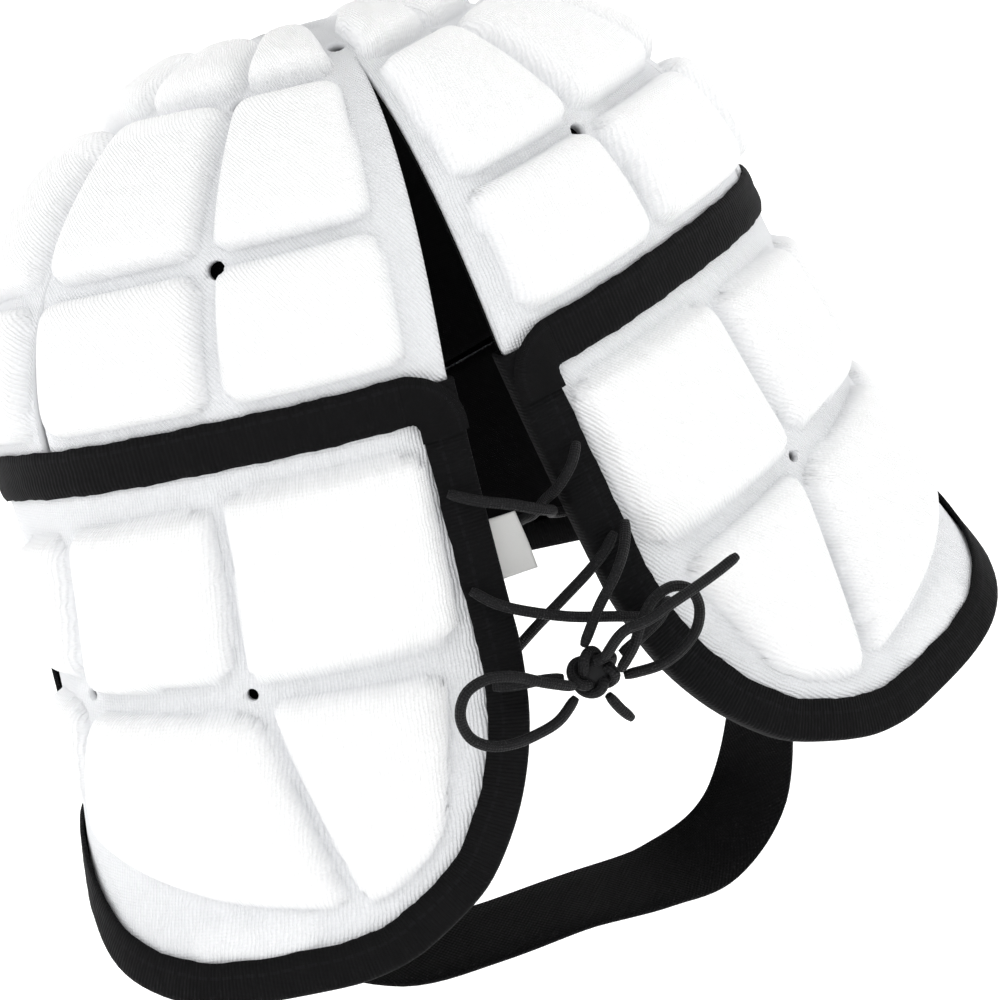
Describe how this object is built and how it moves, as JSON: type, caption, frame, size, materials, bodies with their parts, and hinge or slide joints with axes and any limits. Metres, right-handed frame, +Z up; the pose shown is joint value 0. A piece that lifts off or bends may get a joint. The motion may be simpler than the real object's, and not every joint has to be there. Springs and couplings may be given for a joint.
{
  "type": "rugby scrum cap",
  "caption": "Padded scrum cap of moulded foam pads in knit cloth, open down the laced back, with taped seams and edges, ear openings and a loop chin strap.",
  "frame": {"origin": "the point inside the crown where the cap sits on top of the head, on the lining", "axes": "+Z up through the crown, -Y towards the face, +Y towards the laced back, +X to the wearer's left"},
  "size_m": [0.2478, 0.2237, 0.2983],
  "materials": {
    "padded_knit": "matt ribbed knit over moulded foam",
    "lining_jersey": "matt jersey",
    "stretch_tape": "matt woven stretch tape",
    "tag_satin": "soft satin",
    "strap_webbing": "matt webbing",
    "lace_braid": "matt round braid"
  },
  "bodies": {
    "root": {"crown_panel": "padded_knit", "front_panel": "padded_knit", "crown_lining": "lining_jersey", "front_lining": "lining_jersey", "left_side_panel": "padded_knit", "left_side_lining": "lining_jersey", "left_front_seam_tape": "stretch_tape", "left_edge_binding": "stretch_tape", "left_ear_binding": "stretch_tape", "right_side_panel": "padded_knit", "right_side_lining": "lining_jersey", "right_front_seam_tape": "stretch_tape", "right_edge_binding": "stretch_tape", "right_ear_binding": "stretch_tape", "seam_tape": "stretch_tape", "front_edge_binding": "stretch_tape", "size_tag": "tag_satin", "chin_strap_left": "strap_webbing", "chin_strap_right": "strap_webbing", "lace_cross_upper": "lace_braid", "lace_cross_lower": "lace_braid", "lace_cross_middle": "lace_braid", "lace_cross_back": "lace_braid", "lace_lead_middle": "lace_braid", "lace_lead_left": "lace_braid", "lace_lead_right": "lace_braid", "lace_loop_left": "lace_braid", "lace_loop_right": "lace_braid", "lace_end_long": "lace_braid", "lace_end_short": "lace_braid", "lace_knot": "lace_braid"}
  },
  "joints": []
}
